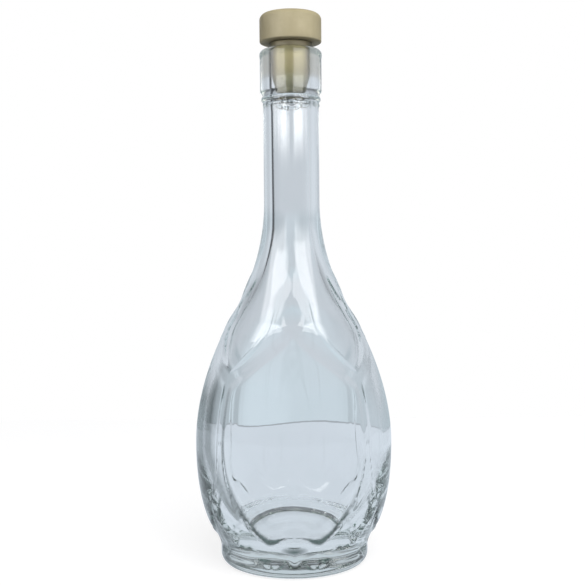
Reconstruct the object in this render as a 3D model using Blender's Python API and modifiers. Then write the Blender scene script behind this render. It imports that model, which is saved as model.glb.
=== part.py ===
"""Glass bottle of half a litre with a pressed four-sided relief, closed by a wooden bar-top stopper.

The origin is the centre of the foot, +Z is up, and one of the four shields of the relief faces -Y.
"""

import math

import bpy

# Outline of the glass, outside, from the foot up
FOOT_RADIUS = 0.0356
HEEL_RADIUS = 0.0045
FOOT_BAND = 0.0018
BEARING_WIDTH = 0.003
PUNT_HEIGHT = 0.0045
BELLY_RADIUS = 0.0474
BELLY_RISE = 0.0515
SHOULDER_RADIUS = 0.0302
SHOULDER_RISE = 0.0593
SHOULDER_LEAN = math.radians(30.8)
NECK_RADIUS = 0.01335
NECK_RISE = 0.0567
NECK_LENGTH = 0.0722

# Finish and neck beads, from the rim down
LIP_SWELL = 0.0002
LIP_ROUND = 0.0025
FINISH_RADIUS = 0.01475
FINISH_LENGTH = 0.0197
FINISH_ROUND = 0.0008
GROOVE_DEPTH = 0.00085
GROOVE_WIDTH = 0.0018
BEAD_SWELL = 0.0009
BEAD_WIDTH = 0.0026
SMALL_BEAD_SWELL = 0.00025
SMALL_BEAD_WIDTH = 0.0018

# Hollow
BORE_RADIUS = 0.00925
BORE_ROUND = 0.0006
BORE_BELOW_SHANK = 0.004
BORE_TAPER_LENGTH = 0.006
NECK_WALL = 0.00445
SHOULDER_WALL = 0.0046
BELLY_WALL = 0.0033
FLOOR_THICKNESS = 0.0126
FLOOR_CROWN = 0.001
FLOOR_RADIUS = 0.020

# Relief: four shields, each between two pillars, under a pointed hood and over a pair of gables
SHIELD_COUNT = 4
FRAME_RISE = 0.0005
EDGE_WIDTH = 0.0016
PILLAR_WIDTH = 0.0052
KEEL_WIDTH = 0.0075
KEEL_RISE = 0.0003
LEAF_STEP = 0.0004
LEAF_HOLLOW = 0.0009
GABLE_DEPTH = 0.0009
LENS_HALF_WIDTH = 0.0055
LENS_HALF_HEIGHT = 0.0019
LENS_RISE = 0.0006
DIAMOND_HALF_WIDTH = 0.0088
DIAMOND_HALF_HEIGHT = 0.0038
DIAMOND_RISE = 0.0009
DIAMOND_ANGLE = math.radians(17.5)

# Stopper
CLEARANCE = 0.0003
SHANK_STRAIGHT = 0.0128
SHANK_TAPER_LENGTH = 0.0075
SHANK_TAPER = 0.00285
COLLAR_OVERHANG = 0.00135
COLLAR_HEIGHT = 0.0027
COLLAR_ROUND = 0.0006
TENON_RADIUS = 0.005
TENON_LENGTH = 0.006
GLUE_THICKNESS = 0.0006
HEAD_RADIUS = 0.0148
HEAD_HEIGHT = 0.0137
HEAD_TOP_ROUND = 0.003
HEAD_BOTTOM_ROUND = 0.0016

# Handles of the outline's curves, as shares of the rise of the curve that they shape
FOOT_HANDLE_SHARE = 0.153
BELLY_LOWER_HANDLE_SHARE = 0.757
BELLY_UPPER_HANDLE_SHARE = 0.53
SHOULDER_HANDLE_SHARE = 0.298
NECK_HANDLE_SHARE = 0.404
FLOOR_HANDLE_SHARE = 0.58
INNER_BELLY_HANDLE_SHARE = 0.33
INNER_NECK_SHARE = 0.845
INNER_NECK_HANDLE_SHARE = 0.42
PUNT_SHARES = (1.0, 0.92, 0.7, 0.35, 0.0)
SHANK_BULGE_SHARES = (0.4, 0.6, 0.85)
WALL_ROUND_SHARE = 0.45

# Heights of the relief's lines, as shares of the height at which the neck begins
GABLE_FOOT_SHARE = 0.0575
LENS_SHARE = 0.076
SHIELD_LOBE_SHARE = 0.1093
GABLE_SHOULDER_SHARE = 0.164
PILLAR_FOOT_SHARE = 0.368
SHIELD_CORNER_SHARE = 0.514
HOOD_FOOT_SHARE = 0.544
SHIELD_APEX_SHARE = 0.655
KEEL_FOOT_SHARE = 0.719
HOOD_TIP_SHARE = 0.817
LEAF_TOP_SHARE = 0.967
DIAMOND_SEAT_SHARE = 0.6

# Hand-chosen outlines of the relief. The first number of each pair is a share of the angle from
# a shield's middle to the pillar beside it, the second a share of the height that the line covers.
FLOOR_SHARES = (
    (0.0, 0.065), (0.12, 0.055), (0.24, 0.012), (0.345, 0.002), (0.41, 0.03), (0.52, 0.10),
    (0.64, 0.21), (0.78, 0.36), (0.915, 0.60), (1.0, 1.0),
)
HOOD_SHARES = (
    (0.0, 1.0), (0.12, 0.955), (0.24, 0.88), (0.345, 0.76), (0.41, 0.38), (0.52, 0.24),
    (0.64, 0.155), (0.78, 0.09), (0.915, 0.03), (1.0, 0.0),
)
GABLE_SHARES = ((0.69, 1.0), (0.78, 0.68), (0.86, 0.36), (0.93, 0.13), (1.0, 0.0))

# The relief dies away towards a shield's middle, from this share of the half sector
FADE_SHARE = 0.35

# Resolution. The columns of the turned body are moved to these shares of the half sector.
COLUMN_SHARES = (0.0, 0.12, 0.24, 0.345, 0.41, 0.52, 0.64, 0.78, 0.915, 1.0)
LEVEL_ROWS = (7, 1, 9, 1, 3, 1, 5)
CURVE_STEPS = 64
INSIDE_STEPS = 5
ROUND_STEPS = 3
STOPPER_STEPS = 40
SMOOTH_ANGLE = math.radians(32)
MERGE_DISTANCE = 0.00001

# Places that follow from the sizes above
FOOT_HEIGHT = HEEL_RADIUS + FOOT_BAND
BELLY_HEIGHT = FOOT_HEIGHT + BELLY_RISE
SHOULDER_HEIGHT = BELLY_HEIGHT + SHOULDER_RISE
NECK_HEIGHT = SHOULDER_HEIGHT + NECK_RISE
RIM_HEIGHT = NECK_HEIGHT + NECK_LENGTH
SHANK_RADIUS = BORE_RADIUS - CLEARANCE
SHANK_END_HEIGHT = RIM_HEIGHT - SHANK_STRAIGHT - SHANK_TAPER_LENGTH
COLLAR_FOOT_HEIGHT = RIM_HEIGHT + CLEARANCE
COLLAR_TOP_HEIGHT = COLLAR_FOOT_HEIGHT + COLLAR_HEIGHT
HEAD_FOOT_HEIGHT = COLLAR_TOP_HEIGHT + CLEARANCE
TENON_TOP_HEIGHT = HEAD_FOOT_HEIGHT + TENON_LENGTH
GLUE_FOOT_HEIGHT = TENON_TOP_HEIGHT + CLEARANCE
GLUE_TOP_HEIGHT = GLUE_FOOT_HEIGHT + GLUE_THICKNESS
HEAD_TOP_HEIGHT = HEAD_FOOT_HEIGHT + HEAD_HEIGHT
LEAF_TOP_HEIGHT = LEAF_TOP_SHARE * NECK_HEIGHT
HOOD_TIP_HEIGHT = HOOD_TIP_SHARE * NECK_HEIGHT
LENS_HEIGHT = LENS_SHARE * NECK_HEIGHT
DIAMOND_HEIGHT = FOOT_HEIGHT + DIAMOND_SEAT_SHARE * DIAMOND_HALF_HEIGHT
HALF_SECTOR = math.pi / SHIELD_COUNT
TURN_STEPS = 2 * SHIELD_COUNT * (len(COLUMN_SHARES) - 1)


def mix(start, end, share):
    return start + (end - start) * share


def bezier(a, b, c, d, steps):
    """Points of a cubic curve from a to d, both ends included."""
    points = []
    for index in range(steps + 1):
        t = index / steps
        s = 1 - t
        weights = (s**3, 3 * s * s * t, 3 * s * t * t, t**3)
        points.append(tuple(sum(w * p[k] for w, p in zip(weights, (a, b, c, d))) for k in (0, 1)))
    return points


def arc(centre, radius, start, end, steps):
    """Points of an arc in the profile plane, from angle start to angle end in degrees."""
    angles = [math.radians(mix(start, end, index / steps)) for index in range(steps + 1)]
    return [(centre[0] + radius * math.cos(a), centre[1] + radius * math.sin(a)) for a in angles]


def interpolate(pairs, x):
    """The value at x of the line through pairs, whose first numbers rise."""
    if x <= pairs[0][0]:
        return pairs[0][1]
    for (x0, y0), (x1, y1) in zip(pairs, pairs[1:]):
        if x <= x1:
            return mix(y0, y1, (x - x0) / (x1 - x0))
    return pairs[-1][1]


def smooth_step(distance, width):
    t = min(max(distance / width, 0.0), 1.0)
    return t * t * (3 - 2 * t)


def along(point, angle, length):
    """The point at this length from another, on a line that leans inwards by the angle."""
    return point[0] - length * math.sin(angle), point[1] + length * math.cos(angle)


def outer_curve():
    """The outside of foot, belly, shoulder and neck as points of radius and height, going up."""
    foot = (FOOT_RADIUS, FOOT_HEIGHT)
    belly = (BELLY_RADIUS, BELLY_HEIGHT)
    shoulder = (SHOULDER_RADIUS, SHOULDER_HEIGHT)
    neck = (NECK_RADIUS, NECK_HEIGHT)
    foot_handle = along(foot, 0, FOOT_HANDLE_SHARE * BELLY_RISE)
    belly_handle = along(belly, 0, -BELLY_LOWER_HANDLE_SHARE * BELLY_RISE)
    upper_belly_handle = along(belly, 0, BELLY_UPPER_HANDLE_SHARE * SHOULDER_RISE)
    shoulder_handle = along(shoulder, SHOULDER_LEAN, SHOULDER_HANDLE_SHARE * NECK_RISE)
    neck_handle = along(neck, 0, -NECK_HANDLE_SHARE * NECK_RISE)
    lower = bezier(foot, foot_handle, belly_handle, belly, CURVE_STEPS)
    middle = bezier(belly, upper_belly_handle, shoulder, shoulder, CURVE_STEPS)
    upper = bezier(shoulder, shoulder_handle, neck_handle, neck, CURVE_STEPS)
    return lower + middle[1:] + upper[1:]


OUTER_BY_HEIGHT = tuple((height, radius) for radius, height in outer_curve())


def outer_radius(height):
    return interpolate(OUTER_BY_HEIGHT, height)


def relief_line(foot_share, top_share, outline_share):
    """Height of a line of the relief, from the shares of its foot, its top and its outline."""
    return NECK_HEIGHT * mix(foot_share, top_share, outline_share)


def shield_floor(share):
    return relief_line(SHIELD_LOBE_SHARE, PILLAR_FOOT_SHARE, interpolate(FLOOR_SHARES, share))


def shield_roof(share):
    return relief_line(SHIELD_APEX_SHARE, SHIELD_CORNER_SHARE, share)


def hood(share):
    return relief_line(HOOD_FOOT_SHARE, HOOD_TIP_SHARE, interpolate(HOOD_SHARES, share))


def gable(share):
    if share < GABLE_SHARES[0][0]:
        return shield_floor(share)
    return relief_line(GABLE_FOOT_SHARE, GABLE_SHOULDER_SHARE, interpolate(GABLE_SHARES, share))


def distance_above(line, share, height, radius):
    """Distance over the glass from a line of the relief, positive above it."""
    across = radius * HALF_SECTOR
    nearest = None
    for x0, x1 in zip(COLUMN_SHARES, COLUMN_SHARES[1:]):
        ax, ay = (x0 - share) * across, line(x0) - height
        bx, by = (x1 - share) * across, line(x1) - height
        dx, dy = bx - ax, by - ay
        t = min(max(-(ax * dx + ay * dy) / (dx * dx + dy * dy), 0.0), 1.0)
        found = math.hypot(ax + t * dx, ay + t * dy)
        nearest = found if nearest is None else min(nearest, found)
    return nearest if height > line(share) else -nearest


def in_shield(share, height, radius):
    """Distance inside a shield's outline, negative outside it."""
    to_pillar = (1 - share) * HALF_SECTOR * radius - PILLAR_WIDTH / 2
    above_floor = distance_above(shield_floor, share, height, radius)
    return min(above_floor, -distance_above(shield_roof, share, height, radius), to_pillar)


def leaf_depth(share):
    """How deep the leaf between two hoods lies at its foot. It is deepest over the pillar."""
    return LEAF_STEP + LEAF_HOLLOW * math.sin(share * math.pi / 2) ** 2


def keel_rise(share, height, radius):
    """The ridge down the middle of a hood's tip."""
    if not KEEL_FOOT_SHARE * NECK_HEIGHT <= height <= HOOD_TIP_HEIGHT:
        return 0.0
    return KEEL_RISE * max(0.0, 1 - share * HALF_SECTOR * radius / (KEEL_WIDTH / 2))


def lens_rise(share, height, radius):
    """The small cushion under the shield's middle."""
    across = share * HALF_SECTOR * radius / LENS_HALF_WIDTH
    upward = (height - LENS_HEIGHT) / LENS_HALF_HEIGHT
    return LENS_RISE * max(0.0, 1 - across**2 - upward**2)


def diamond_rise(share, height, radius):
    """The pair of faceted diamonds that sit across the foot line."""
    across = abs(share * HALF_SECTOR - DIAMOND_ANGLE) * radius / DIAMOND_HALF_WIDTH
    upward = abs(height - DIAMOND_HEIGHT) / DIAMOND_HALF_HEIGHT
    return DIAMOND_RISE * max(0.0, 1 - across - upward)


def relief(share, height, radius):
    """How far the glass stands out from its turned outline, which the shields themselves keep."""
    shield = smooth_step(in_shield(share, height, radius), EDGE_WIDTH)
    leaf = smooth_step(distance_above(hood, share, height, radius), EDGE_WIDTH)
    gables = smooth_step(-distance_above(gable, share, height, radius), EDGE_WIDTH)
    gables *= smooth_step(height - FOOT_HEIGHT, DIAMOND_HALF_HEIGHT)
    side = smooth_step(share, FADE_SHARE)
    upward = smooth_step(LEAF_TOP_HEIGHT - height, LEAF_TOP_HEIGHT - HOOD_TIP_HEIGHT)
    from_foot = smooth_step(height - FOOT_HEIGHT, EDGE_WIDTH)
    frame = FRAME_RISE * side * from_foot * (1 - max(shield, leaf, gables))
    pressed = GABLE_DEPTH * side * gables + leaf_depth(share) * leaf * upward
    raised = max(rise(share, height, radius) for rise in (keel_rise, lens_rise, diamond_rise))
    return frame + raised - pressed


def level_heights(share):
    """Heights, at this angle, of the lines that the rows of the body follow."""
    floor, roof, tip = shield_floor(share), shield_roof(share), hood(share)
    return (
        FOOT_HEIGHT,
        floor,
        floor + min(edge_rise(shield_floor, share), (roof - floor) / 4),
        roof - edge_rise(shield_roof, share),
        roof,
        tip,
        tip + EDGE_WIDTH,
        LEAF_TOP_HEIGHT,
    )


def edge_rise(line, share):
    """How much higher a row runs that lies one edge width inside a line."""
    step = 1 / len(COLUMN_SHARES)
    low, high = max(share - step, 0.0), min(share + step, 1.0)
    slope = (line(high) - line(low)) / ((high - low) * HALF_SECTOR * BELLY_RADIUS)
    return EDGE_WIDTH * math.hypot(1, slope)


def underside():
    """From the heel to the middle of the underside."""
    bearing_outer = FOOT_RADIUS - HEEL_RADIUS
    bearing_inner = bearing_outer - BEARING_WIDTH
    heel = arc((bearing_outer, HEEL_RADIUS), HEEL_RADIUS, 0, -90, ROUND_STEPS)
    return heel + [(bearing_inner * share, PUNT_HEIGHT * (1 - share**2)) for share in PUNT_SHARES]


def finish_outside():
    """From the rim's flat down over lip, finish, groove and beads to the neck."""
    lip = FINISH_RADIUS + LIP_SWELL
    lip_round = min(LIP_ROUND, WALL_ROUND_SHARE * (lip - BORE_RADIUS))
    finish_foot = RIM_HEIGHT - FINISH_LENGTH
    groove_top = finish_foot - FINISH_ROUND
    bead_top = groove_top - GROOVE_WIDTH
    bead_foot = bead_top - BEAD_WIDTH
    small_bead = bead_foot - SMALL_BEAD_WIDTH / 2
    return arc((lip - lip_round, RIM_HEIGHT - lip_round), lip_round, 90, 0, ROUND_STEPS) + [
        (FINISH_RADIUS, RIM_HEIGHT - 2 * lip_round),
        (FINISH_RADIUS, finish_foot),
        (FINISH_RADIUS - FINISH_ROUND, groove_top),
        (FINISH_RADIUS - GROOVE_DEPTH, mix(groove_top, bead_top, 1 / 2)),
        (NECK_RADIUS + BEAD_SWELL, mix(bead_top, bead_foot, 1 / 4)),
        (NECK_RADIUS + BEAD_SWELL, mix(bead_top, bead_foot, 3 / 4)),
        (NECK_RADIUS, bead_foot),
        (NECK_RADIUS + SMALL_BEAD_SWELL, small_bead),
        (NECK_RADIUS, small_bead - SMALL_BEAD_WIDTH),
        (NECK_RADIUS, NECK_HEIGHT),
    ]


def hollow():
    """From the middle of the inner floor up the inner wall to the rim's flat."""
    neck_inside = NECK_RADIUS - NECK_WALL
    floor = (FLOOR_RADIUS, FLOOR_THICKNESS)
    belly = (BELLY_RADIUS - BELLY_WALL, BELLY_HEIGHT)
    shoulder = (SHOULDER_RADIUS - SHOULDER_WALL, SHOULDER_HEIGHT)
    neck = (neck_inside, SHOULDER_HEIGHT + INNER_NECK_SHARE * NECK_RISE)
    floor_handle = (mix(floor[0], belly[0], FLOOR_HANDLE_SHARE), floor[1])
    belly_handle = along(belly, 0, INNER_BELLY_HANDLE_SHARE * (floor[1] - belly[1]))
    upper_belly_handle = along(belly, 0, BELLY_UPPER_HANDLE_SHARE * SHOULDER_RISE)
    shoulder_handle = along(shoulder, SHOULDER_LEAN, SHOULDER_HANDLE_SHARE * NECK_RISE)
    neck_handle = along(neck, 0, INNER_NECK_HANDLE_SHARE * (shoulder[1] - neck[1]))
    crown = [
        (0.0, FLOOR_THICKNESS + FLOOR_CROWN),
        (FLOOR_RADIUS / 2, FLOOR_THICKNESS + 3 / 4 * FLOOR_CROWN),
    ]
    heel = bezier(floor, floor_handle, belly_handle, belly, INSIDE_STEPS)
    side = bezier(belly, upper_belly_handle, shoulder, shoulder, INSIDE_STEPS)
    upper = bezier(shoulder, shoulder_handle, neck_handle, neck, INSIDE_STEPS)
    bore_foot = SHANK_END_HEIGHT - BORE_BELOW_SHANK
    bore = [(neck_inside, bore_foot - BORE_TAPER_LENGTH), (BORE_RADIUS, bore_foot)]
    rounding = min(BORE_ROUND, WALL_ROUND_SHARE * (FINISH_RADIUS - BORE_RADIUS))
    rim = arc((BORE_RADIUS + rounding, RIM_HEIGHT - rounding), rounding, 180, 90, ROUND_STEPS - 1)
    return crown + heel + side[1:] + upper[1:] + bore + rim


def material(name, colour, roughness, transmission=0.0, ior=1.5):
    made = bpy.data.materials.new(name)
    made.use_nodes = True
    shader = made.node_tree.nodes["Principled BSDF"]
    shader.inputs["Base Color"].default_value = (*colour, 1.0)
    shader.inputs["Roughness"].default_value = roughness
    shader.inputs["Metallic"].default_value = 0.0
    shader.inputs["Transmission Weight"].default_value = transmission
    shader.inputs["IOR"].default_value = ior
    made.diffuse_color = (*colour, 1.0)
    return made


def turned(name, points, steps, collection, finish):
    """A profile of radius and height points, turned about Z. The points run down the outer side."""
    profile = bpy.data.meshes.new(name)
    edges = [(index, index + 1) for index in range(len(points) - 1)]
    profile.from_pydata([(radius, 0.0, height) for radius, height in points], edges, [])
    rows = profile.attributes.new("row", "INT", "POINT")
    for index in range(len(points)):
        rows.data[index].value = index
    profile.materials.append(finish)
    piece = bpy.data.objects.new(name, profile)
    collection.objects.link(piece)
    screw = piece.modifiers.new("Turn", "SCREW")
    screw.steps = steps
    screw.render_steps = steps
    screw.use_merge_vertices = True
    screw.merge_threshold = MERGE_DISTANCE
    graph = bpy.context.evaluated_depsgraph_get()
    mesh = bpy.data.meshes.new_from_object(piece.evaluated_get(graph))
    piece.modifiers.clear()
    piece.data = mesh
    shade(mesh)
    return piece


def shade(mesh):
    mesh.shade_smooth()
    mesh.set_sharp_from_angle(angle=SMOOTH_ANGLE)


def press_relief(mesh, levels):
    """Lays each row that has a level along the lines of the relief, and presses the relief into it."""
    rows = mesh.attributes["row"]
    count = len(COLUMN_SHARES) - 1
    for vertex in mesh.vertices:
        row = rows.data[vertex.index].value
        if row not in levels:
            continue
        level, part = levels[row]
        column = round(math.atan2(vertex.co.y, vertex.co.x) / (2 * math.pi) * TURN_STEPS)
        sector, step = divmod(column + count, 2 * count)
        share = COLUMN_SHARES[abs(step - count)]
        angle = 2 * sector * HALF_SECTOR + math.copysign(share * HALF_SECTOR, step - count)
        heights = level_heights(share)
        height = mix(heights[level], heights[level + 1], part)
        plain = outer_radius(height)
        radius = plain + relief(share, height, plain)
        vertex.co = (radius * math.cos(angle), radius * math.sin(angle), height)
    shade(mesh)


def make_bottle(collection, finish):
    """The glass, turned in one closed profile from the inner floor over the rim to the underside."""
    above = hollow() + finish_outside()
    middle = level_heights(0.0)
    levels = [(level, part / count) for level, count in enumerate(LEVEL_ROWS) for part in range(count)]
    levels.reverse()
    heights = [mix(middle[level], middle[level + 1], part) for level, part in levels]
    body = [(outer_radius(height), height) for height in heights]
    piece = turned("bottle", above + body + underside(), TURN_STEPS, collection, finish)
    press_relief(piece.data, {len(above) + index: level for index, level in enumerate(levels)})


def make_shank(collection, finish):
    """Tenon, collar and shank of the stopper, in one piece."""
    end_radius = SHANK_RADIUS - SHANK_TAPER
    straight_end = RIM_HEIGHT - SHANK_STRAIGHT
    upper_bulge, side_bulge, lower_bulge = SHANK_BULGE_SHARES
    upper_handle = (SHANK_RADIUS, mix(straight_end, SHANK_END_HEIGHT, upper_bulge))
    lower_handle = (
        mix(SHANK_RADIUS, end_radius, side_bulge),
        mix(straight_end, SHANK_END_HEIGHT, lower_bulge),
    )
    end = (end_radius, SHANK_END_HEIGHT)
    taper = bezier((SHANK_RADIUS, straight_end), upper_handle, lower_handle, end, INSIDE_STEPS)
    collar_radius = SHANK_RADIUS + COLLAR_OVERHANG
    collar_centre = (collar_radius - COLLAR_ROUND, COLLAR_FOOT_HEIGHT + COLLAR_ROUND)
    points = [
        (0.0, TENON_TOP_HEIGHT),
        (TENON_RADIUS, TENON_TOP_HEIGHT),
        (TENON_RADIUS, COLLAR_TOP_HEIGHT),
        (collar_radius, COLLAR_TOP_HEIGHT),
        *arc(collar_centre, COLLAR_ROUND, 0, -90, ROUND_STEPS - 1),
        (SHANK_RADIUS, COLLAR_FOOT_HEIGHT),
        *taper,
        (0.0, SHANK_END_HEIGHT),
    ]
    turned("stopper_shank", points, STOPPER_STEPS, collection, finish)


def make_head(collection, finish):
    """The wooden head, with the blind socket that takes the tenon."""
    socket_radius = TENON_RADIUS + CLEARANCE
    socket_end = GLUE_TOP_HEIGHT + CLEARANCE
    upper_centre = (HEAD_RADIUS - HEAD_TOP_ROUND, HEAD_TOP_HEIGHT - HEAD_TOP_ROUND)
    lower_centre = (HEAD_RADIUS - HEAD_BOTTOM_ROUND, HEAD_FOOT_HEIGHT + HEAD_BOTTOM_ROUND)
    points = [
        (0.0, HEAD_TOP_HEIGHT),
        *arc(upper_centre, HEAD_TOP_ROUND, 90, 0, ROUND_STEPS),
        *arc(lower_centre, HEAD_BOTTOM_ROUND, 0, -90, ROUND_STEPS),
        (socket_radius, HEAD_FOOT_HEIGHT),
        (socket_radius, socket_end),
        (0.0, socket_end),
    ]
    turned("stopper_head", points, STOPPER_STEPS, collection, finish)


def make_glue(collection, finish):
    """The disc of glue that holds the tenon in the socket."""
    points = [
        (0.0, GLUE_TOP_HEIGHT),
        (TENON_RADIUS, GLUE_TOP_HEIGHT),
        (TENON_RADIUS, GLUE_FOOT_HEIGHT),
        (0.0, GLUE_FOOT_HEIGHT),
    ]
    turned("glue_pad", points, STOPPER_STEPS, collection, finish)


def main():
    for old in list(bpy.data.objects):
        bpy.data.objects.remove(old)
    collection = bpy.data.collections.new("glass_bottle")
    bpy.context.scene.collection.children.link(collection)
    glass = material("bottle_glass", (0.78, 0.84, 0.84), 0.02, transmission=1.0, ior=1.52)
    wood = material("head_wood", (0.48, 0.41, 0.27), 0.6)
    cork = material("shank_polymer", (0.52, 0.47, 0.34), 0.5)
    glue = material("hot_melt_glue", (0.75, 0.70, 0.52), 0.35)
    make_bottle(collection, glass)
    make_shank(collection, cork)
    make_head(collection, wood)
    make_glue(collection, glue)


main()
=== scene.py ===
"""Glass bottle with a pressed relief and a wooden bar-top stopper, as detailed pieces on a plain stage.

The add-on's panel lists one operator for each piece and one for the stage. Lengths are in metres,
+Z is up the bottle's axis, and the middle of one shield of the relief faces -Y.
"""

import math

import bpy
import numpy as np
from mathutils import Matrix, Vector


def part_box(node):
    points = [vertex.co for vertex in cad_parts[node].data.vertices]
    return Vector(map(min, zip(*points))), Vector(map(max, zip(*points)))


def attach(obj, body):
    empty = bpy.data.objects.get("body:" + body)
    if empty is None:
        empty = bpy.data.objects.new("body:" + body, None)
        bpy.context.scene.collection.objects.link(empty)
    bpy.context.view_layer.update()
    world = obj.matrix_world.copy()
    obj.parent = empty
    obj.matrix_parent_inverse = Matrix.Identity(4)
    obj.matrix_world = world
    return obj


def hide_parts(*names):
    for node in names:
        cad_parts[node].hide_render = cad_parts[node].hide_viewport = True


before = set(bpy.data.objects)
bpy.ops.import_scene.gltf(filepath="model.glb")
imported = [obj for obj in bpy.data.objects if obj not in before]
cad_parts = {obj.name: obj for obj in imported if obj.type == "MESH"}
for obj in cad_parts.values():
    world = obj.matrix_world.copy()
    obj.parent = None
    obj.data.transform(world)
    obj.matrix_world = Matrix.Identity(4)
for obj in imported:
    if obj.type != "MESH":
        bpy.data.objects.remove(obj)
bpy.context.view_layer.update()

bl_info = {
    "name": "Glass Bottle",
    "version": (1, 0, 0),
    "blender": (4, 5, 0),
    "location": "View3D > Sidebar > Bottle",
    "description": "Models a pressed glass bottle with its wooden stopper and a plain stage",
    "category": "Add Mesh",
}

# Boxes of the solids that the pieces stand for, a small size, and the scale that changes nothing
GLASS_LOW, GLASS_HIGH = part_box("bottle")
HEAD_LOW, HEAD_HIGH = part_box("stopper_head")
SHANK_LOW, SHANK_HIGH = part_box("stopper_shank")
GLUE_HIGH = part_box("glue_pad")[1]
MILLIMETRE = 0.001
EVEN = (1.0, 1.0, 1.0)

# Foot and underside of the glass
HEEL_RADIUS = 0.0045
FOOT_BAND = 0.0018
FOOT_HEIGHT = HEEL_RADIUS + FOOT_BAND
BEARING_WIDTH = 0.003
PUNT_HEIGHT = 0.0018
PUNT_FLATNESS = 8

# Outline between the foot and the neck: handles as shares of the rise of the curve that they shape
FOOT_HANDLE_SHARE = 0.153
BELLY_LOWER_HANDLE_SHARE = 0.757
BELLY_UPPER_HANDLE_SHARE = 0.53
SHOULDER_HANDLE_SHARE = 0.298
SHOULDER_LEAN = math.radians(30.8)
NECK_HANDLE_SHARE = 0.404

# Finish and neck beads, from the rim down
LIP_SWELL = 0.0002
LIP_ROUND = 0.0025
FINISH_LENGTH = 0.0197
FINISH_ROUND = 0.0008
GROOVE_DEPTH = 0.0010
GROOVE_WIDTH = 0.0018
GROOVE_TURN = -60.0
BEAD_SWELL = 0.0009
BEAD_WIDTH = 0.0026
BEAD_TURN = 80.0
SMALL_BEAD_SWELL = 0.00030
SMALL_BEAD_WIDTH = 0.0013
SMALL_BEAD_DROP = 0.0009
BEAD_WOBBLE = 0.00008
BEAD_WOBBLE_UP_SHARE = 1.6
FINISH_FOOT = GLASS_HIGH.z - FINISH_LENGTH
GROOVE_TOP = FINISH_FOOT - FINISH_ROUND
BEAD_TOP = GROOVE_TOP - GROOVE_WIDTH
BEAD_FOOT = BEAD_TOP - BEAD_WIDTH
SMALL_BEAD_HEIGHT = BEAD_FOOT - SMALL_BEAD_DROP - SMALL_BEAD_WIDTH / 2

# Waves around the small bead, as counts and starts, which also place its specks of painted shade,
# and waves of the inner wall, as depths, counts, climbs and starts
BEAD_WAVES_OUT = ((7, 0.6), (13, 2.1))
BEAD_WAVES_UP = ((5, 1.9), (11, 0.4))
SPECK_WAVES = ((7, 0.9), (19, 0.4), (37, 1.7))
SPECK_LEAST = 0.5
SPECK_EDGE = 0.6
INNER_WAVES = ((1.0, 2, 1.3, 0.0), (0.6, 3, -2.1, 0.7), (0.4, 5, 3.2, 2.0))

# Hollow
BORE_ROUND = 0.0006
BORE_BELOW_SHANK = 0.004
BORE_TAPER_LENGTH = 0.006
FLOOR_CROWN = 0.0001
FLOOR_RADIUS = 0.020
FLOOR_HANDLE_SHARE = 0.58
INNER_BELLY_HANDLE_SHARE = 0.33
INNER_NECK_SHARE = 0.845
INNER_NECK_HANDLE_SHARE = 0.42

# Relief: four shields, each between two pillars, under a pointed hood and over a pair of gables
SHIELD_COUNT = 4
HALF_SECTOR = math.pi / SHIELD_COUNT
EDGE_WIDTH = 0.0016
PILLAR_EDGE_WIDTH = 0.0024
ROOF_EDGE_WIDTH = 0.0042
HOOD_RISE = 0.0002
LOBE_EDGE_WIDTH = 0.0036
LOBE_DEPTH = 0.0011
LOBE_END_SHARE = 0.62
LOBE_FADE_SHARE = 0.16
GABLE_EDGE_WIDTH = 0.0032
PILLAR_WIDTH = 0.0016
KEEL_WIDTH = 0.0066
KEEL_FADE = 0.007
BUD_RISE = 0.00065
BUD_HALF_WIDTH = 0.0052
BUD_HALF_HEIGHT = 0.0075
BUD_SHARE = 0.674
BUD_FULLNESS = 1.5
LEAF_HOLLOW = 0.0003
HOOD_EDGE_RISE = 0.022
UPPER_BLEND = 0.012
LEAF_EDGE_WIDTH = 0.0014
GABLE_DEPTH = 0.0006
LENS_HALF_WIDTH = 0.0065
LENS_HALF_HEIGHT = 0.0024
LENS_RISE = 0.0008
DIAMOND_HALF_WIDTH = 0.0088
DIAMOND_HALF_HEIGHT = 0.0038
DIAMOND_RISE = 0.0008
DIAMOND_ANGLE = math.radians(17.5)
DIAMOND_SEAT_SHARE = 0.6
FADE_SHARE = 0.15

# Heights of the relief's lines, as shares of the height at which the neck begins
GABLE_FOOT_SHARE = 0.0575
LENS_SHARE = 0.086
SHIELD_LOBE_SHARE = 0.106
GABLE_SHOULDER_SHARE = 0.164
PILLAR_FOOT_SHARE = 0.368
SHIELD_CORNER_SHARE = 0.514
HOOD_FOOT_SHARE = 0.544
UPPER_SHARE = 0.62
SHIELD_APEX_SHARE = 0.655
KEEL_FOOT_SHARE = 0.719
HOOD_TIP_SHARE = 0.817
LEAF_TOP_SHARE = 0.967

# Outlines of the relief. The first number of each pair is a share of the angle from
# a shield's middle to the pillar beside it, the second a share of the height that the line covers.
FLOOR_SHARES = (
    (0.0, 0.065), (0.14, 0.055), (0.27, 0.012), (0.375, 0.002), (0.44, 0.03), (0.54, 0.10),
    (0.64, 0.21), (0.78, 0.36), (0.915, 0.60), (1.0, 1.0),
)
HOOD_SHARES = (
    (0.0, 1.0), (0.12, 0.93), (0.24, 0.83), (0.345, 0.70), (0.40, 0.42), (0.52, 0.30),
    (0.64, 0.20), (0.78, 0.11), (0.915, 0.035), (1.0, 0.0),
)
GABLE_SHARES = ((0.69, 1.0), (0.78, 0.90), (0.86, 0.78), (0.93, 0.60), (1.0, 0.35))
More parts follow.
